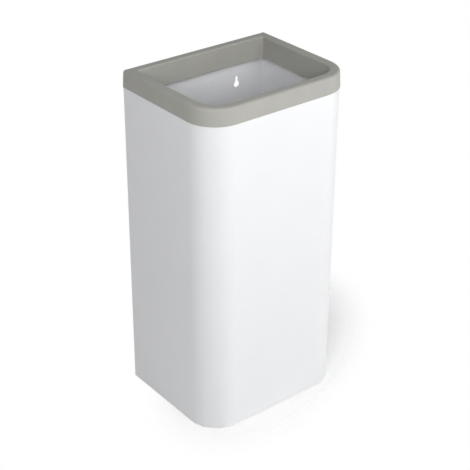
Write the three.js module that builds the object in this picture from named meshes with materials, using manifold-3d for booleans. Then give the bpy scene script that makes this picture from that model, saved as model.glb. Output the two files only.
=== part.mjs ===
// A wastepaper bin: a folded sheet-steel body with large front corners and square rear corners, a pressed
// floor on four rubber feet, and a moulded cover rim that lifts straight off to change the liner.
// It stands on the floor or hangs on two keyholes. Millimetres, +Z up. The front faces -Y and the wall
// side faces +Y. The origin is on the floor, in the middle of the overall footprint.

import * as THREE from "three";
import { mergeVertices } from "three/addons/utils/BufferGeometryUtils.js";
import Module from "manifold-3d";

const wasm = await Module();
wasm.setup();

// Body of folded sheet
const bodyWidth = 270;
const bodyDepth = 210;
const bodyHeight = 524;
const sheet = 1;
const frontRadius = 49;
const foldRadius = 2.5;
const rearFlange = 18;
const seatFlange = 12;
const reliefWidth = 3;
const reliefDepth = 3.5;

// Clearances
const partGap = 0.3;
const linerGap = 0.3;
const overrun = 4;

// Keyholes in the back panel, below its top edge, and the small round holes a little above their heads
const keyholeSpacing = 158;
const keyholeDrop = 52;
const keyholeHead = 10.5;
const keyholeSlot = 4.8;
const keyholeRise = 10.6;
const smallHoleSpacing = 48;
const smallHoleRise = 18.5;
const smallHoleDiameter = 2;

// Pressed floor
const panRecess = 6;
const panEdge = 16;
const panRearRadius = 4;

// Rubber feet
const footProud = 1;
const footInset = 27;
const footDiameter = 16;
const footChamfer = 0.8;
const footStem = 6;
const footBarb = 9;
const footBarbHeight = 3.5;

// Moulded cover rim: an outer band with a lip that hangs over the sheet, a top and a deep inner skirt
const bandHeight = 27;
const bandProud = 1.2;
const lipDepth = 4;
const lipEdgeRound = 0.4;
const rimWidth = 16;
const rimSkirt = 36;
const rimWall = 2.4;
const rimOuterRound = 4.5;
const rimInnerRound = 2.5;
const rimRearRadius = 3.5;
const rimMouthRearRadius = 4;
const skirtDraft = 0.4;
const skirtEdgeRound = 0.9;
const leastRadius = 1.2;

// Ribs in the hollow underside of the rim
const ribPitch = 36;
const ribThickness = 1.8;
const ribRoot = 1.1;
const ribGuideDepth = 9;
const ribGuideLead = 3;
const cornerRibLift = 7;
const cornerRibShares = [1 / 4, 3 / 4];

// Steps along the round stretches
const largeArcSteps = 14;
const smallArcSteps = 4;
const foldSteps = 5;
const roundSteps = 6;
const holeSteps = 20;

// Places that follow from the sizes above
const seatHeight = footProud + bodyHeight;
const sheetMiddle = sheet / 2;
const sideFace = bodyWidth / 2;
const frontFace = -bodyDepth / 2;
const rearFace = bodyDepth / 2;
const quarterTurn = Math.PI / 2;
const footX = sideFace - footInset;
const footY = rearFace - footInset;
const footPlaces = [
  { name: "foot_front_left", x: -footX, y: -footY },
  { name: "foot_front_right", x: footX, y: -footY },
  { name: "foot_rear_left", x: -footX, y: footY },
  { name: "foot_rear_right", x: footX, y: footY },
];

// A closed mesh with shared vertices and no collapsed triangles.
function welded(geometry) {
  const bare = geometry.clone();
  for (const name of Object.keys(bare.attributes)) {
    if (name !== "position") {
      bare.deleteAttribute(name);
    }
  }
  const merged = mergeVertices(bare);
  const kept = [];
  const corners = merged.index.array;
  for (let i = 0; i < corners.length; i += 3) {
    const [a, b, c] = [corners[i], corners[i + 1], corners[i + 2]];
    if (a !== b && b !== c && c !== a) {
      kept.push(a, b, c);
    }
  }
  merged.setIndex(kept);
  merged.computeVertexNormals();
  return merged;
}

function toSolid(geometry) {
  const mesh = welded(geometry);
  return new wasm.Manifold(new wasm.Mesh({
    numProp: 3,
    vertProperties: new Float32Array(mesh.attributes.position.array),
    triVerts: new Uint32Array(mesh.index.array),
  }));
}

function toGeometry(solid) {
  const mesh = solid.getMesh();
  const geometry = new THREE.BufferGeometry();
  geometry.setAttribute("position", new THREE.BufferAttribute(mesh.vertProperties, mesh.numProp));
  geometry.setIndex(new THREE.BufferAttribute(mesh.triVerts, 1));
  geometry.computeVertexNormals();
  return geometry;
}

function arc(centreX, centreY, radius, from, to, steps) {
  const points = [];
  for (let i = 0; i <= steps; i += 1) {
    const angle = from + (to - from) * i / steps;
    points.push(new THREE.Vector2(centreX + radius * Math.cos(angle), centreY + radius * Math.sin(angle)));
  }
  return points;
}

// The outline of a sheet that is folded along a line of corners. The line is the middle of the sheet, and
// each fold is given by the radius of its outer face.
function foldedStrip(line, folds) {
  const left = [];
  const right = [];
  const add = (point, normal) => {
    left.push(point.clone().addScaledVector(normal, sheetMiddle));
    right.unshift(point.clone().addScaledVector(normal, -sheetMiddle));
  };
  const heading = (from, to) => to.clone().sub(from).normalize();
  const leftOf = (direction) => new THREE.Vector2(-direction.y, direction.x);
  add(line[0], leftOf(heading(line[0], line[1])));
  folds.forEach((fold, i) => {
    const corner = line[i + 1];
    const into = heading(line[i], corner);
    const out = heading(corner, line[i + 2]);
    const turn = Math.atan2(into.cross(out), into.dot(out));
    const side = Math.sign(turn);
    const radius = fold.outerRadius - sheetMiddle;
    const setback = radius * Math.tan(Math.abs(turn) / 2);
    const start = corner.clone().addScaledVector(into, -setback);
    const centre = start.clone().addScaledVector(leftOf(into), side * radius);
    for (let step = 0; step <= fold.steps; step += 1) {
      const normal = leftOf(into).rotateAround(new THREE.Vector2(), turn * step / fold.steps);
      add(centre.clone().addScaledVector(normal, -side * radius), normal);
    }
  });
  const last = line.length - 1;
  add(line[last], leftOf(heading(line[last - 1], line[last])));
  return new THREE.Shape([...left, ...right]);
}

function extruded(shape, depth) {
  return new THREE.ExtrudeGeometry(shape, { depth, bevelEnabled: false, curveSegments: holeSteps });
}

// An upright profile, drawn as inward distance and height, run along a wall from its start. The run goes to
// the right of somebody who looks inward over the wall.
function alongWall(profile, length, start, inward) {
  const up = new THREE.Vector3(0, 0, 1);
  const run = inward.clone().cross(up);
  const placed = new THREE.Matrix4().makeBasis(inward, up, run).setPosition(start);
  return toSolid(extruded(profile, length).applyMatrix4(placed));
}

// A closed plan outline of the body, anticlockwise from above, moved inward from its faces.
function planOutline({ inset, rearInset = inset, frontCorner, rearCorner, height }) {
  const right = sideFace - inset;
  const front = frontFace + inset;
  const rear = rearFace - rearInset;
  const corners = [
    [right - rearCorner, rear - rearCorner, rearCorner, 0, smallArcSteps],
    [rearCorner - right, rear - rearCorner, rearCorner, 1, smallArcSteps],
    [frontCorner - right, front + frontCorner, frontCorner, 2, largeArcSteps],
    [right - frontCorner, front + frontCorner, frontCorner, 3, largeArcSteps],
  ];
  return corners.flatMap(([x, y, radius, turns, steps]) => (
    arc(x, y, radius, turns * quarterTurn, (turns + 1) * quarterTurn, steps)
      .map((point) => new THREE.Vector3(point.x, point.y, height))
  ));
}

// A solid skinned over rings of equal point count. The rings either close on themselves, like the section of
// a hoop, or start and end with a flat face.
function skinned(rings, isHoop) {
  const count = rings[0].length;
  const faces = [];
  const bands = isHoop ? rings.length : rings.length - 1;
  for (let band = 0; band < bands; band += 1) {
    const lower = band * count;
    const upper = ((band + 1) % rings.length) * count;
    for (let i = 0; i < count; i += 1) {
      const next = (i + 1) % count;
      faces.push(lower + i, lower + next, upper + next, lower + i, upper + next, upper + i);
    }
  }
  if (!isHoop) {
    const lastRing = (rings.length - 1) * count;
    for (const [a, b, c] of THREE.ShapeUtils.triangulateShape(rings[0], [])) {
      faces.push(c, b, a);
    }
    for (const [a, b, c] of THREE.ShapeUtils.triangulateShape(rings.at(-1), [])) {
      faces.push(lastRing + a, lastRing + b, lastRing + c);
    }
  }
  const geometry = new THREE.BufferGeometry().setFromPoints(rings.flat());
  geometry.setIndex(faces);
  return geometry;
}

function along(from, to, pitch) {
  const count = Math.max(1, Math.round((to - from) / pitch));
  const places = [];
  for (let i = 0; i <= count; i += 1) {
    places.push(from + (to - from) * i / count);
  }
  return places;
}

// The walls in turn: where each straight run starts, its length and the way that leads inward
const sideRunLength = bodyDepth - frontRadius - sheet - seatFlange;
const frontRunLength = bodyWidth - 2 * frontRadius;
const straightRuns = [
  {
    start: new THREE.Vector3(-sideFace, frontFace + frontRadius + sideRunLength, 0),
    inward: new THREE.Vector3(1, 0, 0),
    length: sideRunLength,
  },
  {
    start: new THREE.Vector3(-sideFace + frontRadius, frontFace, 0),
    inward: new THREE.Vector3(0, 1, 0),
    length: frontRunLength,
  },
  {
    start: new THREE.Vector3(sideFace, frontFace + frontRadius, 0),
    inward: new THREE.Vector3(-1, 0, 0),
    length: sideRunLength,
  },
];

// Sheet wrapped round the sides and the front, with its top edge folded inward where it runs straight
function shellWrap() {
  const line = [
    [rearFlange - sideFace, rearFace - sheetMiddle],
    [sheetMiddle - sideFace, rearFace - sheetMiddle],
    [sheetMiddle - sideFace, frontFace + sheetMiddle],
    [sideFace - sheetMiddle, frontFace + sheetMiddle],
    [sideFace - sheetMiddle, rearFace - sheetMiddle],
    [sideFace - rearFlange, rearFace - sheetMiddle],
  ].map(([x, y]) => new THREE.Vector2(x, y));
  const rearFold = { outerRadius: foldRadius, steps: foldSteps };
  const frontBend = { outerRadius: frontRadius, steps: largeArcSteps };
  let shell = toSolid(extruded(foldedStrip(line, [rearFold, frontBend, frontBend, rearFold]), bodyHeight));
  const legFoot = bodyHeight - reliefDepth - sheet;
  const flangeLine = [
    new THREE.Vector2(sheetMiddle, legFoot),
    new THREE.Vector2(sheetMiddle, bodyHeight - sheetMiddle),
    new THREE.Vector2(seatFlange, bodyHeight - sheetMiddle),
  ];
  const flangeProfile = foldedStrip(flangeLine, [rearFold]);
  const notchProfile = new THREE.Shape([
    new THREE.Vector2(-overrun, bodyHeight - reliefDepth),
    new THREE.Vector2(sheet + overrun, bodyHeight - reliefDepth),
    new THREE.Vector2(sheet + overrun, bodyHeight + overrun),
    new THREE.Vector2(-overrun, bodyHeight + overrun),
  ]);
  for (const { start, inward, length } of straightRuns) {
    const run = inward.clone().cross(new THREE.Vector3(0, 0, 1));
    const flangeStart = start.clone().addScaledVector(run, reliefWidth);
    shell = shell.subtract(alongWall(notchProfile, length, start, inward));
    shell = shell.add(alongWall(flangeProfile, length - 2 * reliefWidth, flangeStart, inward));
  }
  return toGeometry(shell);
}

// A screw head goes in at the round end, and the panel then drops until the screw sits in the slot above
function keyholeOutline() {
  const headRadius = keyholeHead / 2;
  const slotRadius = keyholeSlot / 2;
  const mouth = Math.asin(slotRadius / headRadius);
  const outline = new THREE.Shape();
  outline.absarc(0, 0, headRadius, quarterTurn + mouth, quarterTurn - mouth + 2 * Math.PI, false);
  outline.absarc(0, keyholeRise, slotRadius, 0, Math.PI, false);
  outline.closePath();
  return outline;
}

function smallHoleOutline() {
  return new THREE.Shape().absarc(0, 0, smallHoleDiameter / 2, 0, 2 * Math.PI, false);
}

// Flat rear sheet inside the folded-in edges of the shell, with its own top edge folded forward
function backPanel() {
  const halfWidth = sideFace - foldRadius - partGap;
  const line = [
    new THREE.Vector2(sheet + sheetMiddle, 0),
    new THREE.Vector2(sheet + sheetMiddle, bodyHeight - sheetMiddle),
    new THREE.Vector2(seatFlange, bodyHeight - sheetMiddle),
  ];
  const profile = foldedStrip(line, [{ outerRadius: foldRadius, steps: foldSteps }]);
  const start = new THREE.Vector3(halfWidth, rearFace, 0);
  let panel = alongWall(profile, 2 * halfWidth, start, new THREE.Vector3(0, -1, 0));
  const headHeight = bodyHeight - keyholeDrop;
  const cuts = [
    [keyholeOutline(), keyholeSpacing / 2, headHeight],
    [smallHoleOutline(), smallHoleSpacing / 2, headHeight + smallHoleRise],
  ];
  for (const [outline, x, z] of cuts) {
    for (const side of [-1, 1]) {
      const cutter = extruded(outline, sheet + 2 * overrun);
      cutter.rotateX(quarterTurn);
      cutter.translate(side * x, rearFace + overrun, z);
      panel = panel.subtract(toSolid(cutter));
    }
  }
  return toGeometry(panel);
}

// Pressed floor with a turned-up edge all round, held above the lower edge of the sheet
function basePan() {
  const outerInset = sheet + partGap;
  const rearFit = sheet;
  const innerRadius = foldRadius - sheet;
  const ring = (inset, height) => planOutline({
    inset: outerInset + inset,
    rearInset: outerInset + rearFit + inset,
    frontCorner: frontRadius - outerInset - inset,
    rearCorner: Math.max(panRearRadius - inset, leastRadius),
    height: panRecess + height,
  });
  const outerFold = arc(foldRadius, foldRadius, foldRadius, -quarterTurn, -2 * quarterTurn, foldSteps);
  const innerFold = arc(foldRadius, foldRadius, innerRadius, -2 * quarterTurn, -quarterTurn, foldSteps);
  const section = [
    ...outerFold,
    new THREE.Vector2(0, panEdge),
    new THREE.Vector2(sheet, panEdge),
    ...innerFold,
  ];
  let pan = toSolid(skinned(section.map((point) => ring(point.x, point.y)), false));
  const hole = new THREE.Shape().absarc(0, 0, footStem / 2 + partGap, 0, 2 * Math.PI, false);
  for (const { x, y } of footPlaces) {
    const cutter = extruded(hole, sheet + 2 * overrun);
    cutter.translate(x, y, panRecess - overrun);
    pan = pan.subtract(toSolid(cutter));
  }
  return toGeometry(pan);
}

// Rubber foot with a stem through the floor and a barb that snaps over it
function rubberFoot() {
  const padRadius = footDiameter / 2;
  const stemRadius = footStem / 2;
  const barbRadius = footBarb / 2;
  const shoulder = footProud + panRecess;
  const top = shoulder + sheet + footBarbHeight;
  const profile = [
    [0, 0],
    [padRadius - footChamfer, 0],
    [padRadius, footChamfer],
    [padRadius, shoulder],
    [stemRadius, shoulder],
    [stemRadius, shoulder + sheet],
    [barbRadius, shoulder + sheet],
    [barbRadius, shoulder + sheet + footChamfer],
    [stemRadius, top],
    [0, top],
  ].map(([radius, height]) => new THREE.Vector2(radius, height));
  const lathe = new THREE.LatheGeometry(profile, holeSteps);
  lathe.rotateX(quarterTurn);
  return welded(lathe);
}

// Cross-section of the rim, as inward distance and height above its seat, from the lip up the outer band and
// over the top, down the mouth and back through the hollow. The walls lean so that the ring leaves its mould.
function rimSection() {
  const top = bandHeight - lipDepth;
  const skirtFoot = top - rimSkirt;
  const ceiling = top - rimWall;
  const roundCentre = top - rimOuterRound;
  const [lipX, lipY] = [lipEdgeRound - bandProud, lipEdgeRound - lipDepth];
  const lipArc = arc(lipX, lipY, lipEdgeRound, 3 * quarterTurn, 2 * quarterTurn, smallArcSteps);
  const outerArc = arc(rimOuterRound, roundCentre, rimOuterRound, 2 * quarterTurn, quarterTurn, roundSteps);
  const [innerX, innerY] = [rimWidth - rimInnerRound, top - rimInnerRound];
  const innerArc = arc(innerX, innerY, rimInnerRound, quarterTurn, 0, roundSteps);
  const [edgeX, edgeY] = [rimWidth + skirtDraft - skirtEdgeRound, skirtFoot + skirtEdgeRound];
  const edgeArc = arc(edgeX, edgeY, skirtEdgeRound, 0, -2 * quarterTurn, smallArcSteps);
  return {
    outer: [...lipArc, ...outerArc],
    mouth: [...innerArc, ...edgeArc, new THREE.Vector2(rimWidth - rimWall, ceiling)],
    hollow: [new THREE.Vector2(rimWall, ceiling), new THREE.Vector2(rimWall - bandProud, 0)],
    lip: [new THREE.Vector2(-partGap, 0), new THREE.Vector2(-partGap, -lipDepth)],
  };
}

// Moulded ring with stepped ribs underneath that rest on the folded edge of the body and centre the ring in
// it. It stops flush with the rear of the body, so that the body lies flat against a wall.
function coverRim() {
  const section = rimSection();
  const ring = (point, rearInset, rearCorner) => planOutline({
    inset: point.x,
    rearInset,
    frontCorner: frontRadius - point.x,
    rearCorner,
    height: point.y,
  });
  const outerRing = (point) => ring(point, point.x, Math.max(rimRearRadius - point.x, leastRadius));
  const mouthRing = (point) => ring(point, point.x, rimMouthRearRadius + Math.max(rimWidth - point.x, 0));
  const hollowRing = (point) => ring(point, rimWall, leastRadius);
  const lipRing = (point) => ring(point, point.x, foldRadius - point.x);
  const rings = [
    ...section.outer.map(outerRing),
    ...section.mouth.map(mouthRing),
    ...section.hollow.map(hollowRing),
    ...section.lip.map(lipRing),
  ];
  const behind = new THREE.BoxGeometry(2 * bodyWidth, overrun, 2 * rimSkirt + 2 * overrun);
  behind.translate(0, rearFace + overrun / 2, 0);
  let rim = toSolid(skinned(rings, true)).subtract(toSolid(behind));
  for (const rib of rimRibs()) {
    rim = rim.add(rib);
  }
  return toGeometry(rim);
}

function rimRibs() {
  const root = rimWall - ribRoot;
  const ceiling = bandHeight - lipDepth - ribRoot;
  const skirtSide = rimWidth - ribRoot;
  const guide = seatFlange + linerGap;
  const seatRib = new THREE.Shape([
    new THREE.Vector2(root, 0),
    new THREE.Vector2(guide, 0),
    new THREE.Vector2(guide, ribGuideLead - ribGuideDepth),
    new THREE.Vector2(skirtSide, -ribGuideDepth),
    new THREE.Vector2(skirtSide, ceiling),
    new THREE.Vector2(root, ceiling),
  ]);
  const cornerRib = new THREE.Shape([
    new THREE.Vector2(root, cornerRibLift),
    new THREE.Vector2(skirtSide, cornerRibLift),
    new THREE.Vector2(skirtSide, ceiling),
    new THREE.Vector2(root, ceiling),
  ]);
  const up = new THREE.Vector3(0, 0, 1);
  const ribAt = (profile, foot, inward) => {
    const run = inward.clone().cross(up);
    const start = foot.clone().addScaledVector(run, -ribThickness / 2);
    return alongWall(profile, ribThickness, start, inward);
  };
  const ribs = [];
  const rearRun = {
    start: new THREE.Vector3(sideFace - 2 * seatFlange, rearFace, 0),
    inward: new THREE.Vector3(0, -1, 0),
    length: bodyWidth - 4 * seatFlange,
  };
  for (const { start, inward, length } of [...straightRuns, rearRun]) {
    const run = inward.clone().cross(up);
    for (const distance of along(2 * reliefWidth, length - 2 * reliefWidth, ribPitch)) {
      ribs.push(ribAt(seatRib, start.clone().addScaledVector(run, distance), inward));
    }
  }
  for (const side of [-1, 1]) {
    const centre = new THREE.Vector3(side * (sideFace - frontRadius), frontFace + frontRadius, 0);
    for (const share of cornerRibShares) {
      const angle = -share * quarterTurn;
      const outward = new THREE.Vector3(side * Math.cos(angle), Math.sin(angle), 0);
      ribs.push(ribAt(cornerRib, centre.clone().addScaledVector(outward, frontRadius), outward.negate()));
    }
  }
  return ribs;
}

const whitePowderCoat = new THREE.MeshStandardMaterial({ color: 0xf3f4f3, roughness: 0.45, metalness: 0 });
const greyMoulding = new THREE.MeshStandardMaterial({ color: 0xa2a39c, roughness: 0.55, metalness: 0 });
const blackRubber = new THREE.MeshStandardMaterial({ color: 0x2a2a2b, roughness: 0.85, metalness: 0 });

function part(name, geometry, material) {
  const mesh = new THREE.Mesh(geometry, material);
  mesh.name = name;
  return mesh;
}

// The folded body stands on its feet, and the rim rests on it with room for the film of a liner
const steelwork = new THREE.Group();
steelwork.position.z = footProud;
steelwork.add(part("shell_wrap", shellWrap(), whitePowderCoat));
steelwork.add(part("back_panel", backPanel(), whitePowderCoat));
steelwork.add(part("base_pan", basePan(), whitePowderCoat));

const bin = new THREE.Group();
bin.position.y = bandProud / 2;
bin.add(steelwork);
for (const { name, x, y } of footPlaces) {
  const foot = part(name, rubberFoot(), blackRubber);
  foot.position.set(x, y, 0);
  bin.add(foot);
}
const rim = part("cover_rim", coverRim(), greyMoulding);
rim.position.z = seatHeight + linerGap;
bin.add(rim);

export default bin;
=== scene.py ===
"""A wastepaper bin: a folded body of white powder-coated sheet steel and a grey moulded rim that lifts off.

Every piece of the frame is built again here as a finer mesh, with softened sheet edges, spot-weld marks and
fine bends, and stands where the frame has it. Metres, +Z up, the front faces -Y.
"""

import math

import bmesh
import bpy
from mathutils import Matrix, Vector


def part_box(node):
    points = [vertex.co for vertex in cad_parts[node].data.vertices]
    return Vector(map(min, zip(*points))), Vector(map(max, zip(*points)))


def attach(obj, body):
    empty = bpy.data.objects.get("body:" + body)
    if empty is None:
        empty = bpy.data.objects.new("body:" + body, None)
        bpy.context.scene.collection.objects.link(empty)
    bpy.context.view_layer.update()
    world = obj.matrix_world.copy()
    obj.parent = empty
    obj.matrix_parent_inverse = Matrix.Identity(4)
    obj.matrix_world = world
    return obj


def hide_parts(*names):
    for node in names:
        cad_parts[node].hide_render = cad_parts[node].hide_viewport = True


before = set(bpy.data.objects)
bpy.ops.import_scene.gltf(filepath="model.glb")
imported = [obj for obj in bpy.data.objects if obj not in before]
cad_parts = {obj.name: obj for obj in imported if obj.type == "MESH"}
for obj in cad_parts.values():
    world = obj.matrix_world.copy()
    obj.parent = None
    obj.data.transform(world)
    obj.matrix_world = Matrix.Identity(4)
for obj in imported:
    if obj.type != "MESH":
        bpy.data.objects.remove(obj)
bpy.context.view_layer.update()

MM = 0.001

# Sheet metal
SHEET = 1 * MM
FRONT_RADIUS = 49 * MM
FOLD_RADIUS = 2.5 * MM
REAR_FLANGE = 18 * MM
SEAT_FLANGE = 12 * MM
RELIEF_WIDTH = 3 * MM
RELIEF_DEPTH = 3.5 * MM
SHEET_EDGE_ROUND = 0.22 * MM
PART_GAP = 0.3 * MM
OVERRUN = 4 * MM

# Edges of the sheets that turn by more than the first angle are rounded, and edges that turn by less than the
# second are shaded smooth
CUT_EDGE_ANGLE = math.radians(55)
SMOOTH_ANGLE = math.radians(35)
EDGE_SEGMENTS = 3
MERGE_DISTANCE = 0.002 * MM

# Places closer than this are one place, and directions whose cosine is more than this are one direction
PLACE_TOLERANCE = 0.01 * MM
SAME_DIRECTION = 0.999

# Spot welds that join the back panel to the folded rear edges
WELD_DIAMETER = 5.5 * MM
WELD_DEPTH = 0.16 * MM
WELD_INSET = 10 * MM
WELD_PITCH = 84 * MM
WELD_END = 26 * MM
WELD_STEPS_AROUND = 24
WELD_STEPS_ACROSS = 12

# Holes in the back panel
KEYHOLE_SPACING = 158 * MM
KEYHOLE_DROP = 52 * MM
KEYHOLE_HEAD = 10.5 * MM
KEYHOLE_SLOT = 4.8 * MM
KEYHOLE_RISE = 10.6 * MM
SMALL_HOLE_SPACING = 48 * MM
SMALL_HOLE_RISE = 18.5 * MM
SMALL_HOLE_DIAMETER = 2 * MM

# Pressed floor and rubber feet
PAN_EDGE = 16 * MM
PAN_REAR_RADIUS = 4 * MM
FOOT_STEM = 6 * MM
FOOT_BARB = 9 * MM
FOOT_PAD_HEIGHT = 7 * MM
FOOT_CHAMFER = 0.8 * MM
FOOT_EDGE_ROUND = 0.5 * MM

# Moulded rim, with heights above its seat
BAND_PROUD = 1.2 * MM
LIP_DEPTH = 4 * MM
LIP_EDGE_ROUND = 0.4 * MM
RIM_WIDTH = 16 * MM
RIM_WALL = 2.4 * MM
RIM_OUTER_ROUND = 4.5 * MM
RIM_INNER_ROUND = 2.5 * MM
RIM_REAR_RADIUS = 3.5 * MM
RIM_MOUTH_REAR_RADIUS = 4 * MM
SKIRT_DRAFT = 0.4 * MM
SKIRT_EDGE_ROUND = 0.9 * MM
LEAST_RADIUS = 1.2 * MM
REAR_EDGE_ROUND = 0.35 * MM
REAR_EDGE_ANGLE = math.radians(30)
RIB_PITCH = 36 * MM
RIB_THICKNESS = 1.8 * MM
RIB_ROOT = 1.1 * MM
RIB_GUIDE_DEPTH = 9 * MM
RIB_GUIDE_LEAD = 3 * MM
CORNER_RIB_LIFT = 7 * MM
CORNER_RIB_SHARES = (1 / 4, 3 / 4)
LINER_GAP = 0.3 * MM

# Steps along the round stretches
LARGE_ARC_STEPS = 32
SMALL_ARC_STEPS = 6
FOLD_STEPS = 8
ROUND_STEPS = 10
HOLE_STEPS = 48
FLOOR_EDGE_STEPS = 96

# Powder coat, rim plastic and foot rubber
COAT_COLOUR = (0.822, 0.828, 0.843)
COAT_RELIEF = 0.05 * MM
DUST_SHARE = 0.12
RIM_COLOUR = (0.41, 0.406, 0.376)
RIM_RELIEF = 0.05 * MM
RUBBER_COLOUR = (0.03, 0.03, 0.031)
RUBBER_RELIEF = 0.04 * MM

# Studio floor. Where it is seen it shows only in an ellipse beside the bin, and is grey there even where lit: a
# painted shadow to the right of and in front of the bin, around the bin's real shadow.
# The ellipse is set by its centre, its turn and its half sizes, the longer one towards the bin's shadow, and fades
# from a share of the way to its edge
FLOOR_RADIUS = 1.3
FLOOR_TONE = 0.77
FLOOR_GLOW = 0.17
PAINTED_SHADOW_CENTRE = (0.085, 0.03, 0)
PAINTED_SHADOW_TURN = math.radians(30)
PAINTED_SHADOW_SIZE = (0.33, 0.18, 1)
PAINTED_SHADOW_FADE_START = 0.35

# Studio lights: each softbox with its azimuth, its elevation in degrees and its power
WHITE = (1, 1, 1, 1)
SKY_LIGHT = 0.205
LAMP_SIZE = 0.8
LAMP_DISTANCE = 1.6
LAMP_AIM_HEIGHT = 0.35
SOFTBOXES = {
    "left_softbox": (-42.5, 31, 12.9),
    "right_softbox": (11, 32, 6.8),
    "low_softbox": (54, 1, 8.9),
    "back_softbox": (180, 0, 7),
}

# Camera, fitted to the outlines in the photograph, with its lens and sensor in millimetres
CAMERA_PLACE = (-1.08347, -1.35834, 1.23580)
CAMERA_YAW = math.radians(38.452)
CAMERA_PITCH = math.radians(29.071)
CAMERA_ROLL = math.radians(0.297)
CAMERA_LENS = 96.286
CAMERA_SENSOR = 36

UP = Vector((0, 0, 1))
QUARTER = math.pi / 2

# The body's faces and the rim's heights, from the frame
shell_low, shell_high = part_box("shell_wrap")
rim_low, rim_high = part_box("cover_rim")
body_bottom = shell_low.z
body_top = shell_high.z
side_face = shell_high.x
front_face = shell_low.y
rear_face = shell_high.y
rim_seat = body_top + LINER_GAP
rim_top = rim_high.z - rim_seat
skirt_foot = rim_low.z - rim_seat


def link(name, bm):
    """A new object in the scene that holds the mesh that bm describes."""
    mesh = bpy.data.meshes.new(name)
    bm.to_mesh(mesh)
    bm.free()
    piece = bpy.data.objects.new(name, mesh)
    bpy.context.scene.collection.objects.link(piece)
    return piece


def baked(piece):
    """Turns the piece's modifiers into plain mesh."""
    graph = bpy.context.evaluated_depsgraph_get()
    mesh = bpy.data.meshes.new_from_object(piece.evaluated_get(graph))
    piece.modifiers.clear()
    piece.data = mesh
    return piece


def put_in_order(mesh):
    """Sorts the mesh's vertices by place and its faces by vertices.

    A cut leaves them in an order that varies from run to run, and the rounding of edges depends on it.
    """
    places = [tuple(vertex.co) for vertex in mesh.vertices]
    order = sorted(range(len(places)), key=lambda i: places[i])
    rank = {old: new for new, old in enumerate(order)}
    faces = []
    for face in mesh.polygons:
        corners = [rank[i] for i in face.vertices]
        first = corners.index(min(corners))
        faces.append(corners[first:] + corners[:first])
    mesh.clear_geometry()
    mesh.from_pydata([places[i] for i in order], [], sorted(faces))


def combined(piece, tool, operation):
    """The piece with the tool's volume cut away from it or added to it. The tool is used up."""
    step = piece.modifiers.new(operation, "BOOLEAN")
    step.operation = operation
    step.solver = "EXACT"
    step.use_self = operation == "UNION"
    step.object = tool
    baked(piece)
    put_in_order(piece.data)
    bpy.data.objects.remove(tool)
    return piece


def softened(piece, width=0):
    """Rounds the piece's cut edges by width, if it is given, and keeps its flat faces flat to the light."""
    if width:
        edge = piece.modifiers.new("edge_round", "BEVEL")
        edge.width = width
        edge.segments = EDGE_SEGMENTS
        edge.limit_method = "ANGLE"
        edge.angle_limit = CUT_EDGE_ANGLE
        edge.use_clamp_overlap = True
        baked(piece)
    bm = bmesh.new()
    bm.from_mesh(piece.data)
    bmesh.ops.remove_doubles(bm, verts=bm.verts, dist=MERGE_DISTANCE)
    for face in bm.faces:
        face.smooth = True
    for edge in bm.edges:
        edge.smooth = edge.calc_face_angle(0) < SMOOTH_ANGLE
    bm.to_mesh(piece.data)
    bm.free()
    weighted = piece.modifiers.new("flat_faces", "WEIGHTED_NORMAL")
    weighted.keep_sharp = True
    return baked(piece)


def arc(centre, radius, start, end, steps):
    """Points along an arc in a plane, as 2-D vectors."""
    points = []
    for i in range(steps + 1):
        angle = start + (end - start) * i / steps
        points.append(Vector((centre[0] + radius * math.cos(angle), centre[1] + radius * math.sin(angle))))
    return points


def left_of(direction):
    return Vector((-direction.y, direction.x))


def folded_line(corners, radii, steps):
    """The middle of a sheet folded along a line of corners, as (point, left normal) pairs.

    Each inner corner has a radius, that of the middle of the sheet, and a count of steps.
    """
    line = [(corners[0], left_of((corners[1] - corners[0]).normalized()))]
    for before, corner, after, radius, count in zip(corners, corners[1:], corners[2:], radii, steps):
        into = (corner - before).normalized()
        out = (after - corner).normalized()
        turn = math.atan2(into.x * out.y - into.y * out.x, into.dot(out))
        side = math.copysign(1, turn)
        start = corner - into * radius * math.tan(abs(turn) / 2)
        centre = start + left_of(into) * side * radius
        for i in range(count + 1):
            normal = left_of(into)
            normal.rotate(Matrix.Rotation(turn * i / count, 2))
            line.append((centre - normal * side * radius, normal))
    line.append((corners[-1], left_of((corners[-1] - corners[-2]).normalized())))
    return line


def seat_fold_profile(leg_foot, leg_inset):
    """The middle of a sheet that stands up and folds inward at the body's top, as inward distance and height."""
    middle = SHEET / 2
    corners = [
        Vector((leg_inset, leg_foot)),
        Vector((leg_inset, body_top - middle)),
        Vector((SEAT_FLANGE, body_top - middle)),
    ]
    return [point for point, _ in folded_line(corners, [FOLD_RADIUS - middle], [FOLD_STEPS])]


def thickened(piece):
    skin = piece.modifiers.new("sheet", "SOLIDIFY")
    skin.thickness = SHEET
    skin.offset = 0
    skin.use_even_offset = True
    return baked(piece)


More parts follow.
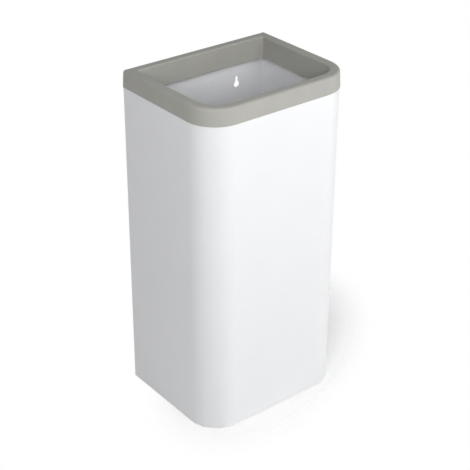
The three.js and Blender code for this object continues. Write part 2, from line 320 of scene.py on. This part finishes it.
def shell_columns():
    """Places along the middle of the wrapped sheet, from one rear edge round the front to the other.

    Each has a point in plan, the way inward, and whether the stretch that follows is plain, a relief slit or folded
    inward.
    """
    middle = SHEET / 2
    x = side_face - middle
    corners = [
        Vector((REAR_FLANGE - side_face, rear_face - middle)),
        Vector((-x, rear_face - middle)),
        Vector((-x, front_face + middle)),
        Vector((x, front_face + middle)),
        Vector((x, rear_face - middle)),
        Vector((side_face - REAR_FLANGE, rear_face - middle)),
    ]
    fold, bend = FOLD_RADIUS - middle, FRONT_RADIUS - middle
    steps = [FOLD_STEPS, LARGE_ARC_STEPS, LARGE_ARC_STEPS, FOLD_STEPS]
    line = folded_line(corners, [fold, bend, bend, fold], steps)
    run_rear = rear_face - SHEET - SEAT_FLANGE
    run_front = front_face + FRONT_RADIUS
    run_side = side_face - FRONT_RADIUS
    columns = [(point, normal, "plain") for point, normal in line]
    runs = [
        (Vector((-x, run_rear)), Vector((-x, run_front))),
        (Vector((-run_side, front_face + middle)), Vector((run_side, front_face + middle))),
        (Vector((x, run_front)), Vector((x, run_rear))),
    ]
    for start, end in runs:
        way = (end - start).normalized()
        inward = left_of(way)
        first = next(
            i for i, (point, normal, _) in enumerate(columns)
            if (point - start).dot(way) > -PLACE_TOLERANCE
            and abs((point - start).dot(inward)) < PLACE_TOLERANCE
            and normal.dot(inward) > SAME_DIRECTION
        )
        rest = columns[first:]
        while (rest[0][0] - end).dot(way) < -PLACE_TOLERANCE and rest[0][1].dot(inward) > SAME_DIRECTION:
            rest.pop(0)
        marks = [
            (start, "relief"),
            (start + way * RELIEF_WIDTH, "folded"),
            (end - way * RELIEF_WIDTH, "relief"),
        ]
        if (rest[0][0] - end).length > PLACE_TOLERANCE:
            marks.append((end, "plain"))
        columns[first:] = [(point, inward, kind) for point, kind in marks] + rest
    return columns


def coated_shell():
    """The sheet round the sides and the front, with its top edge folded inward between relief slits."""
    slit_foot = body_top - RELIEF_DEPTH
    fold = seat_fold_profile(slit_foot, SHEET / 2)
    bm = bmesh.new()
    found = {}
    columns = shell_columns()

    def vertex(i, row):
        if (i, row) not in found:
            point, inward, _ = columns[i]
            if row == "foot":
                place = (point.x, point.y, body_bottom)
            elif row == "slit":
                place = (point.x, point.y, slit_foot)
            elif row == "top":
                place = (point.x, point.y, body_top)
            else:
                moved = point + inward * (fold[row].x - SHEET / 2)
                place = (moved.x, moved.y, fold[row].y)
            found[i, row] = bm.verts.new(place)
        return found[i, row]

    for i in range(len(columns) - 1):
        kind = columns[i][2]
        rows = ["foot", "slit"]
        if kind == "plain":
            rows.append("top")
        elif kind == "folded":
            rows.extend(range(1, len(fold)))
        for low, high in zip(rows, rows[1:]):
            bm.faces.new([vertex(i, low), vertex(i + 1, low), vertex(i + 1, high), vertex(i, high)])
    piece = thickened(link("coated_shell", bm))
    combined(piece, weld_marks(), "DIFFERENCE")
    return softened(piece, SHEET_EDGE_ROUND)


def weld_marks():
    """Shallow lens-shaped tools that leave the dimples of the spot welds in the rear edges."""
    bm = bmesh.new()
    span = body_top - body_bottom - 2 * WELD_END
    count = round(span / WELD_PITCH)
    for side in (-1, 1):
        for i in range(count + 1):
            place = Matrix.Translation((
                side * (side_face - WELD_INSET),
                rear_face,
                body_bottom + WELD_END + span * i / count,
            ))
            shape = Matrix.Diagonal((WELD_DIAMETER / 2, WELD_DEPTH, WELD_DIAMETER / 2, 1))
            bmesh.ops.create_uvsphere(
                bm, u_segments=WELD_STEPS_AROUND, v_segments=WELD_STEPS_ACROSS, radius=1, matrix=place @ shape,
            )
    return link("weld_marks", bm)


def prism(outline, depth):
    """A closed prism over a flat outline in the XZ plane, from y = -depth / 2 to y = depth / 2."""
    bm = bmesh.new()
    near = [bm.verts.new((point.x, -depth / 2, point.y)) for point in outline]
    far = [bm.verts.new((point.x, depth / 2, point.y)) for point in outline]
    bm.faces.new(near)
    bm.faces.new(list(reversed(far)))
    for i in range(len(outline)):
        j = (i + 1) % len(outline)
        bm.faces.new([near[j], near[i], far[i], far[j]])
    bmesh.ops.recalc_face_normals(bm, faces=bm.faces)
    return bm


def keyhole_outline():
    head, slot = KEYHOLE_HEAD / 2, KEYHOLE_SLOT / 2
    mouth = math.asin(slot / head)
    round_end = arc((0, 0), head, QUARTER + mouth, QUARTER - mouth + 4 * QUARTER, HOLE_STEPS)
    return round_end + arc((0, KEYHOLE_RISE), slot, 0, 2 * QUARTER, HOLE_STEPS // 2)


def small_hole_outline():
    return arc((0, 0), SMALL_HOLE_DIAMETER / 2, 0, 4 * QUARTER, HOLE_STEPS // 2)[:-1]


def coated_back_panel():
    """The flat rear sheet with its keyholes, folded forward at the top."""
    half_width = side_face - FOLD_RADIUS - PART_GAP
    behind_flanges = SHEET + SHEET / 2
    profile = seat_fold_profile(body_bottom, behind_flanges)
    bm = bmesh.new()
    left = [bm.verts.new((-half_width, rear_face - point.x, point.y)) for point in profile]
    right = [bm.verts.new((half_width, rear_face - point.x, point.y)) for point in profile]
    for i in range(len(profile) - 1):
        bm.faces.new([left[i], right[i], right[i + 1], left[i + 1]])
    piece = thickened(link("coated_back_panel", bm))
    head_height = body_top - KEYHOLE_DROP
    holes = [
        (keyhole_outline(), KEYHOLE_SPACING / 2, head_height),
        (small_hole_outline(), SMALL_HOLE_SPACING / 2, head_height + SMALL_HOLE_RISE),
    ]
    for outline, x, z in holes:
        for side in (-1, 1):
            tool = link("hole", prism(outline, 2 * OVERRUN))
            tool.data.transform(Matrix.Translation((side * x, rear_face, z)))
            combined(piece, tool, "DIFFERENCE")
    return softened(piece, SHEET_EDGE_ROUND)


def plan_ring(inset, rear_inset, front_corner, rear_corner, height):
    """A closed outline of the body from above, anticlockwise, moved inward from its faces."""
    right = side_face - inset
    front = front_face + inset
    rear = rear_face - rear_inset
    corners = [
        (right - rear_corner, rear - rear_corner, rear_corner, 0, SMALL_ARC_STEPS),
        (rear_corner - right, rear - rear_corner, rear_corner, 1, SMALL_ARC_STEPS),
        (front_corner - right, front + front_corner, front_corner, 2, LARGE_ARC_STEPS),
        (right - front_corner, front + front_corner, front_corner, 3, LARGE_ARC_STEPS),
    ]
    ring = []
    for x, y, radius, turns, steps in corners:
        for point in arc((x, y), radius, turns * QUARTER, (turns + 1) * QUARTER, steps):
            ring.append(Vector((point.x, point.y, height)))
    return ring


def skinned(name, rings, is_hoop):
    """A closed mesh over rings of equal point count, which close on themselves or end in flat faces."""
    bm = bmesh.new()
    loops = [[bm.verts.new(point) for point in ring] for ring in rings]
    pairs = list(zip(loops, loops[1:]))
    if is_hoop:
        pairs.append((loops[-1], loops[0]))
    for lower, upper in pairs:
        for i in range(len(lower)):
            j = (i + 1) % len(lower)
            bm.faces.new([lower[i], lower[j], upper[j], upper[i]])
    if not is_hoop:
        bm.faces.new(list(reversed(loops[0])))
        bm.faces.new(loops[-1])
    bmesh.ops.recalc_face_normals(bm, faces=bm.faces)
    return link(name, bm)


def foot_centres():
    centres = {}
    for name in ("foot_front_left", "foot_front_right", "foot_rear_left", "foot_rear_right"):
        low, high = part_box(name)
        centres[name] = ((low.x + high.x) / 2, (low.y + high.y) / 2)
    return centres


def coated_base_pan():
    """The pressed floor with its turned-up edge and the holes for the feet."""
    pan_low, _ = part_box("base_pan")
    outer_inset = SHEET + PART_GAP
    inner_radius = FOLD_RADIUS - SHEET
    fold_centre = (FOLD_RADIUS, FOLD_RADIUS)
    section = [
        *arc(fold_centre, FOLD_RADIUS, -QUARTER, -2 * QUARTER, FOLD_STEPS),
        Vector((0, PAN_EDGE)),
        Vector((SHEET, PAN_EDGE)),
        *arc(fold_centre, inner_radius, -2 * QUARTER, -QUARTER, FOLD_STEPS),
    ]
    rings = [
        plan_ring(
            outer_inset + point.x,
            outer_inset + SHEET + point.x,
            FRONT_RADIUS - outer_inset - point.x,
            max(PAN_REAR_RADIUS - point.x, LEAST_RADIUS),
            pan_low.z + point.y,
        )
        for point in section
    ]
    piece = skinned("coated_base_pan", rings, False)
    stem_hole = arc((0, 0), FOOT_STEM / 2 + PART_GAP, 0, 4 * QUARTER, HOLE_STEPS)[:-1]
    for x, y in foot_centres().values():
        tool = link("hole", prism(stem_hole, 2 * OVERRUN))
        tool.data.transform(Matrix.Translation((x, y, pan_low.z)) @ Matrix.Rotation(QUARTER, 4, "X"))
        combined(piece, tool, "DIFFERENCE")
    return softened(piece, SHEET_EDGE_ROUND)


def rubber_foot(name, x, y):
    """A foot turned about its stem, with its working edges rounded."""
    low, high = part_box(name)
    pad = (high.x - low.x) / 2
    stem, barb = FOOT_STEM / 2, FOOT_BARB / 2
    shoulder, top = low.z + FOOT_PAD_HEIGHT, high.z
    catch = shoulder + SHEET
    pad_edge_centre = (pad - FOOT_EDGE_ROUND, shoulder - FOOT_EDGE_ROUND)
    tip_centre = (stem - FOOT_EDGE_ROUND, top - FOOT_EDGE_ROUND)
    profile = [
        (0, low.z),
        (pad - FOOT_CHAMFER, low.z),
        (pad, low.z + FOOT_CHAMFER),
        *arc(pad_edge_centre, FOOT_EDGE_ROUND, 0, QUARTER, SMALL_ARC_STEPS),
        (stem, shoulder),
        (stem, catch),
        (barb, catch),
        (barb, catch + FOOT_CHAMFER),
        *arc(tip_centre, FOOT_EDGE_ROUND, QUARTER / 4, QUARTER, SMALL_ARC_STEPS),
        (0, top),
    ]
    bm = bmesh.new()
    rings = []
    for radius, height in profile:
        if radius == 0:
            rings.append([bm.verts.new((x, y, height))])
            continue
        circle = arc((x, y), radius, 0, 4 * QUARTER, HOLE_STEPS)[:-1]
        rings.append([bm.verts.new((point.x, point.y, height)) for point in circle])
    for lower, upper in zip(rings, rings[1:]):
        for i in range(HOLE_STEPS):
            j = (i + 1) % HOLE_STEPS
            corners = (lower[i % len(lower)], lower[j % len(lower)], upper[j % len(upper)], upper[i % len(upper)])
            bm.faces.new(list(dict.fromkeys(corners)))
    bmesh.ops.recalc_face_normals(bm, faces=bm.faces)
    return softened(link("rubber_" + name, bm))


def rim_section():
    """The rim's cross-section, as inward distance and height above its seat.

    It goes up the outer band, over the top, down the mouth and back through the hollow.
    """
    ceiling = rim_top - RIM_WALL
    edge_centre = (RIM_WIDTH + SKIRT_DRAFT - SKIRT_EDGE_ROUND, skirt_foot + SKIRT_EDGE_ROUND)
    outer_centre = (RIM_OUTER_ROUND, rim_top - RIM_OUTER_ROUND)
    inner_centre = (RIM_WIDTH - RIM_INNER_ROUND, rim_top - RIM_INNER_ROUND)
    lip_centre = (LIP_EDGE_ROUND - BAND_PROUD, LIP_EDGE_ROUND - LIP_DEPTH)
    return {
        "outer": [
            *arc(lip_centre, LIP_EDGE_ROUND, 3 * QUARTER, 2 * QUARTER, SMALL_ARC_STEPS),
            *arc(outer_centre, RIM_OUTER_ROUND, 2 * QUARTER, QUARTER, ROUND_STEPS),
        ],
        "mouth": [
            *arc(inner_centre, RIM_INNER_ROUND, QUARTER, 0, ROUND_STEPS),
            *arc(edge_centre, SKIRT_EDGE_ROUND, 0, -2 * QUARTER, SMALL_ARC_STEPS),
            Vector((RIM_WIDTH - RIM_WALL, ceiling)),
        ],
        "hollow": [Vector((RIM_WALL, ceiling)), Vector((RIM_WALL - BAND_PROUD, 0))],
        "lip": [Vector((-PART_GAP, 0)), Vector((-PART_GAP, -LIP_DEPTH))],
    }


def moulded_rim():
    """The cover rim with its ribs. It stops flush with the rear of the body."""
    section = rim_section()

    def ring(point, rear_inset, rear_corner):
        return plan_ring(point.x, rear_inset, FRONT_RADIUS - point.x, rear_corner, rim_seat + point.y)

    rings = [ring(p, p.x, max(RIM_REAR_RADIUS - p.x, LEAST_RADIUS)) for p in section["outer"]]
    rings += [ring(p, p.x, RIM_MOUTH_REAR_RADIUS + max(RIM_WIDTH - p.x, 0)) for p in section["mouth"]]
    rings += [ring(p, RIM_WALL, LEAST_RADIUS) for p in section["hollow"]]
    rings += [ring(p, p.x, FOLD_RADIUS - p.x) for p in section["lip"]]
    piece = skinned("moulded_cover_rim", rings, True)
    behind = link("behind", prism([
        Vector((-2 * side_face, rim_low.z - OVERRUN)),
        Vector((2 * side_face, rim_low.z - OVERRUN)),
        Vector((2 * side_face, rim_high.z + OVERRUN)),
        Vector((-2 * side_face, rim_high.z + OVERRUN)),
    ], OVERRUN))
    behind.data.transform(Matrix.Translation((0, rear_face + OVERRUN / 2, 0)))
    combined(piece, behind, "DIFFERENCE")
    round_rear_edges(piece)
    combined(piece, rim_ribs(), "UNION")
    return softened(piece)


def round_rear_edges(piece):
    """Rounds the edges that the rim's flat wall side has with its other faces."""
    bm = bmesh.new()
    bm.from_mesh(piece.data)
    bmesh.ops.remove_doubles(bm, verts=bm.verts, dist=MERGE_DISTANCE)
    border = [
        edge for edge in bm.edges
        if all(abs(vertex.co.y - rear_face) < PLACE_TOLERANCE for vertex in edge.verts)
        and edge.calc_face_angle(0) > REAR_EDGE_ANGLE
    ]
    bmesh.ops.bevel(
        bm, geom=border, offset=REAR_EDGE_ROUND, segments=EDGE_SEGMENTS, profile=0.5, affect="EDGES",
        clamp_overlap=True,
    )
    bm.to_mesh(piece.data)
    bm.free()


def rib(profile, foot, inward):
    """An upright rib over a profile of inward distance and height, centred on foot."""
    run = inward.cross(UP)
    corners = []
    for side in (-1, 1):
        for point in profile:
            corners.append(foot + inward * point.x + UP * point.y + run * side * RIB_THICKNESS / 2)
    return corners


def rim_ribs():
    """The ribs under the rim: stepped ones along the straight runs of the body's folded edge, that sit on it and
    guide the skirt, and plain ones across the round front corners."""
    root = RIM_WALL - RIB_ROOT
    ceiling = rim_top - RIB_ROOT
    skirt_side = RIM_WIDTH - RIB_ROOT
    guide = SEAT_FLANGE + LINER_GAP
    seat_rib = [
        Vector((root, 0)),
        Vector((guide, 0)),
        Vector((guide, RIB_GUIDE_LEAD - RIB_GUIDE_DEPTH)),
        Vector((skirt_side, -RIB_GUIDE_DEPTH)),
        Vector((skirt_side, ceiling)),
        Vector((root, ceiling)),
    ]
    corner_rib = [
        Vector((root, CORNER_RIB_LIFT)),
        Vector((skirt_side, CORNER_RIB_LIFT)),
        Vector((skirt_side, ceiling)),
        Vector((root, ceiling)),
    ]
    side_run = rear_face - front_face - FRONT_RADIUS - SHEET - SEAT_FLANGE
    front_run = 2 * (side_face - FRONT_RADIUS)
    rear_run = 2 * side_face - 4 * SEAT_FLANGE
    rear_end = front_face + FRONT_RADIUS + side_run
    runs = [
        (Vector((-side_face, rear_end, 0)), Vector((1, 0, 0)), side_run),
        (Vector((FRONT_RADIUS - side_face, front_face, 0)), Vector((0, 1, 0)), front_run),
        (Vector((side_face, front_face + FRONT_RADIUS, 0)), Vector((-1, 0, 0)), side_run),
        (Vector((side_face - 2 * SEAT_FLANGE, rear_face, 0)), Vector((0, -1, 0)), rear_run),
    ]
    ribs = []
    for start, inward, length in runs:
        run = inward.cross(UP)
        span = length - 4 * RELIEF_WIDTH
        count = max(1, round(span / RIB_PITCH))
        for i in range(count + 1):
            foot = start + run * (2 * RELIEF_WIDTH + span * i / count)
            ribs.append((seat_rib, foot, inward))
    for side in (-1, 1):
        centre = Vector((side * (side_face - FRONT_RADIUS), front_face + FRONT_RADIUS, 0))
        for share in CORNER_RIB_SHARES:
            angle = -share * QUARTER
            outward = Vector((side * math.cos(angle), math.sin(angle), 0))
            ribs.append((corner_rib, centre + outward * FRONT_RADIUS, -outward))
    bm = bmesh.new()
    for profile, foot, inward in ribs:
        seat = foot + UP * rim_seat
        verts = [bm.verts.new(corner) for corner in rib(profile, seat, inward)]
        near, far = verts[:len(profile)], verts[len(profile):]
        bm.faces.new(near)
        bm.faces.new(list(reversed(far)))
        for i in range(len(profile)):
            j = (i + 1) % len(profile)
            bm.faces.new([near[j], near[i], far[i], far[j]])
    bmesh.ops.recalc_face_normals(bm, faces=bm.faces)
    return link("rim_ribs", bm)


class Nodes:
    """A small helper that adds nodes to a material or world and links them."""

    def __init__(self, owner):
        owner.use_nodes = True
        self.tree = owner.node_tree
        self.tree.nodes.clear()

    def add(self, kind, settings=None, **inputs):
        node = self.tree.nodes.new(kind)
        for key, value in (settings or {}).items():
            setattr(node, key, value)
        for key, value in inputs.items():
            socket = node.inputs[key.replace("_", " ")]
            if isinstance(value, bpy.types.NodeSocket):
                self.tree.links.new(value, socket)
            else:
                socket.default_value = value
        return node

    def link(self, output, socket):
        self.tree.links.new(output, socket)

    def noise(self, place, size, detail=2.0, roughness=0.5):
        """Cloud noise whose blobs are about size metres across."""
        node = self.add(
            "ShaderNodeTexNoise", Vector=place, Scale=1 / size, Detail=detail, Roughness=roughness,
        )
        return node.outputs["Fac"]

    def spread(self, value, low, high, from_low=0.3, from_high=0.7, easing="LINEAR"):
        """Maps a value onto the range from low to high. Its own range is by default that of most noise."""
        node = self.add(
            "ShaderNodeMapRange",
            {"interpolation_type": easing},
            Value=value,
            From_Min=from_low,
            From_Max=from_high,
            To_Min=low,
            To_Max=high,
        )
        return node.outputs["Result"]

    def shade(self, colour, factor):
        """A colour scaled by a factor."""
        node = self.add("ShaderNodeVectorMath", {"operation": "SCALE"})
        node.inputs[0].default_value = colour
        self.link(factor, node.inputs["Scale"])
        return node.outputs[0]

    def finish(self, kind, surface):
        """Adds the output node and gives it the surface."""
        output = self.add(kind)
        self.link(surface, output.inputs["Surface"])


def powder_coat():
    """White satin powder coat: a fine orange peel and a very slight unevenness of tone and gloss."""
    material = bpy.data.materials.new("powder_coat")
    nodes = Nodes(material)
    place = nodes.add("ShaderNodeTexCoord").outputs["Object"]
    peel = nodes.noise(place, size=2 * MM, detail=2, roughness=0.45)
    dust = nodes.noise(place, size=0.35 * MM, detail=1)
    clouds = nodes.noise(place, size=60 * MM, detail=3)
    relief = nodes.add("ShaderNodeMath", {"operation": "MULTIPLY_ADD"})
    nodes.link(dust, relief.inputs[0])
    relief.inputs[1].default_value = DUST_SHARE
    nodes.link(peel, relief.inputs[2])
    bump = nodes.add("ShaderNodeBump", Strength=1.0, Distance=COAT_RELIEF, Height=relief.outputs[0])
    colour = nodes.shade(COAT_COLOUR, nodes.spread(clouds, 0.985, 1.0))
    shader = nodes.add(
        "ShaderNodeBsdfPrincipled",
        Base_Color=colour,
        Roughness=nodes.spread(peel, 0.34, 0.42),
        IOR=1.5,
        Normal=bump.outputs["Normal"],
    )
    nodes.finish("ShaderNodeOutputMaterial", shader.outputs[0])
    return material


def rim_plastic():
    """Stone grey moulded plastic with a fine spark-eroded grain."""
    material = bpy.data.materials.new("rim_plastic")
    nodes = Nodes(material)
    place = nodes.add("ShaderNodeTexCoord").outputs["Object"]
    grain = nodes.noise(place, size=0.55 * MM, detail=3, roughness=0.6)
    clouds = nodes.noise(place, size=34 * MM, detail=3, roughness=0.55)
    bump = nodes.add("ShaderNodeBump", Strength=1.0, Distance=RIM_RELIEF, Height=grain)
    tone = nodes.add("ShaderNodeMath", {"operation": "MULTIPLY"})
    nodes.link(nodes.spread(clouds, 0.97, 1.02), tone.inputs[0])
    nodes.link(nodes.spread(grain, 0.96, 1.04), tone.inputs[1])
    colour = nodes.shade(RIM_COLOUR, tone.outputs[0])
    shader = nodes.add(
        "ShaderNodeBsdfPrincipled",
        Base_Color=colour,
        Roughness=nodes.spread(grain, 0.5, 0.62),
        IOR=1.49,
        Specular_IOR_Level=0.2,
        Normal=bump.outputs["Normal"],
    )
    nodes.finish("ShaderNodeOutputMaterial", shader.outputs[0])
    return material


def foot_rubber():
    """Black rubber with a fine dull grain."""
    material = bpy.data.materials.new("foot_rubber")
    nodes = Nodes(material)
    place = nodes.add("ShaderNodeTexCoord").outputs["Object"]
    grain = nodes.noise(place, size=0.4 * MM)
    bump = nodes.add("ShaderNodeBump", Strength=1.0, Distance=RUBBER_RELIEF, Height=grain)
    colour = nodes.shade(RUBBER_COLOUR, nodes.spread(grain, 0.8, 1.25))
    shader = nodes.add(
        "ShaderNodeBsdfPrincipled",
        Base_Color=colour,
        Roughness=nodes.spread(grain, 0.7, 0.86),
        Normal=bump.outputs["Normal"],
    )
    nodes.finish("ShaderNodeOutputMaterial", shader.outputs[0])
    return material


def seen_directly(nodes):
    """1 for rays that look straight at a surface, in a gloss or through glass, and 0 for those that light it."""
    path = nodes.add("ShaderNodeLightPath")
    both = nodes.add("ShaderNodeMath", {"operation": "MAXIMUM"})
    nodes.link(path.outputs["Is Camera Ray"], both.inputs[0])
    nodes.link(path.outputs["Is Glossy Ray"], both.inputs[1])
    every = nodes.add("ShaderNodeMath", {"operation": "MAXIMUM"})
    nodes.link(both.outputs[0], every.inputs[0])
    nodes.link(path.outputs["Is Transmission Ray"], every.inputs[1])
    return every.outputs[0]


def floor_material():
    """Pale floor that takes the bin's shadow. Where it is seen it shows only in an ellipse to the right of and in
    front of the bin, grey there even where lit as a painted shadow, and fades into the white background.
    """
    material = bpy.data.materials.new("pale_floor")
    nodes = Nodes(material)
    seen = seen_directly(nodes)
    glow = nodes.add("ShaderNodeMath", {"operation": "MULTIPLY"})
    nodes.link(seen, glow.inputs[0])
    glow.inputs[1].default_value = FLOOR_GLOW
    diffuse = nodes.add("ShaderNodeBsdfDiffuse", Color=(FLOOR_TONE, FLOOR_TONE, FLOOR_TONE, 1))
    emission = nodes.add("ShaderNodeEmission", Color=WHITE, Strength=glow.outputs[0])
    lit = nodes.add("ShaderNodeAddShader")
    nodes.link(diffuse.outputs[0], lit.inputs[0])
    nodes.link(emission.outputs[0], lit.inputs[1])
    place = nodes.add("ShaderNodeTexCoord").outputs["Object"]
    # Painted shadow: the ellipse of grey floor that shows beside the bin and fades into the white background
    ellipse = nodes.add(
        "ShaderNodeMapping",
        {"vector_type": "TEXTURE"},
        Vector=place,
        Location=PAINTED_SHADOW_CENTRE,
        Rotation=(0, 0, PAINTED_SHADOW_TURN),
        Scale=PAINTED_SHADOW_SIZE,
    )
    distance = nodes.add("ShaderNodeVectorMath", {"operation": "LENGTH"})
    nodes.link(ellipse.outputs[0], distance.inputs[0])
    fade = nodes.add("ShaderNodeMath", {"operation": "MULTIPLY"})
    outward = nodes.spread(distance.outputs["Value"], 0, 1, PAINTED_SHADOW_FADE_START, 1, "SMOOTHSTEP")
    nodes.link(outward, fade.inputs[0])
    nodes.link(seen, fade.inputs[1])
    clear = nodes.add("ShaderNodeBsdfTransparent")
    mixed = nodes.add("ShaderNodeMixShader", Fac=fade.outputs[0])
    nodes.link(lit.outputs[0], mixed.inputs[1])
    nodes.link(clear.outputs[0], mixed.inputs[2])
    nodes.finish("ShaderNodeOutputMaterial", mixed.outputs[0])
    return material


def floor():
    bm = bmesh.new()
    bmesh.ops.create_circle(bm, cap_ends=True, segments=FLOOR_EDGE_STEPS, radius=FLOOR_RADIUS)
    piece = link("studio_floor", bm)
    piece.data.materials.append(floor_material())


def studio_world():
    """A white background that lights the bin only a little."""
    world = bpy.data.worlds.new("studio")
    bpy.context.scene.world = world
    nodes = Nodes(world)
    seen = seen_directly(nodes)
    strength = nodes.spread(seen, SKY_LIGHT, 1, 0, 1)
    background = nodes.add("ShaderNodeBackground", Color=WHITE, Strength=strength)
    nodes.finish("ShaderNodeOutputWorld", background.outputs[0])


def softbox(name, azimuth, elevation, power):
    """A round lamp that faces the bin. Azimuth 0 is in front of the bin and 90 to the right of that."""
    turn, rise = math.radians(azimuth), math.radians(elevation)
    away = Vector((math.sin(turn) * math.cos(rise), -math.cos(turn) * math.cos(rise), math.sin(rise)))
    data = bpy.data.lights.new(name, "AREA")
    data.shape = "DISK"
    data.size = LAMP_SIZE
    data.energy = power
    lamp = bpy.data.objects.new(name, data)
    bpy.context.scene.collection.objects.link(lamp)
    lamp.location = Vector((0, 0, LAMP_AIM_HEIGHT)) + away * LAMP_DISTANCE
    lamp.rotation_euler = (-away).to_track_quat("-Z", "Y").to_euler()


def camera():
    """The photograph's view: from the front left and above, through a long lens."""
    data = bpy.data.cameras.new("camera")
    data.sensor_width = CAMERA_SENSOR
    data.lens = CAMERA_LENS
    viewer = bpy.data.objects.new("camera", data)
    bpy.context.scene.collection.objects.link(viewer)
    viewer.matrix_world = (
        Matrix.Translation(CAMERA_PLACE)
        @ Matrix.Rotation(-CAMERA_YAW, 4, "Z")
        @ Matrix.Rotation(QUARTER - CAMERA_PITCH, 4, "X")
        @ Matrix.Rotation(CAMERA_ROLL, 4, "Z")
    )
    bpy.context.scene.camera = viewer


def dress(piece, material, body, slot, *nodes):
    """Gives a piece its material and its place in the frame: the CAD nodes it replaces and its body. The slot is
    not used.
    """
    piece.data.materials.clear()
    piece.data.materials.append(material)
    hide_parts(*nodes)
    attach(piece, body)


camera()
studio_world()
floor()
for softbox_name, (azimuth, elevation, power) in SOFTBOXES.items():
    softbox(softbox_name, azimuth, elevation, power)

coat = powder_coat()
plastic = rim_plastic()
rubber = foot_rubber()
dress(coated_shell(), coat, "bin_body", "powder_coat", "shell_wrap")
dress(coated_back_panel(), coat, "bin_body", "powder_coat", "back_panel")
dress(coated_base_pan(), coat, "bin_body", "powder_coat", "base_pan")
dress(moulded_rim(), plastic, "rim", "rim_plastic", "cover_rim")
for foot, (foot_x, foot_y) in foot_centres().items():
    dress(rubber_foot(foot, foot_x, foot_y), rubber, "bin_body", "foot_rubber", foot)

bpy.context.scene.view_settings.view_transform = "Standard"
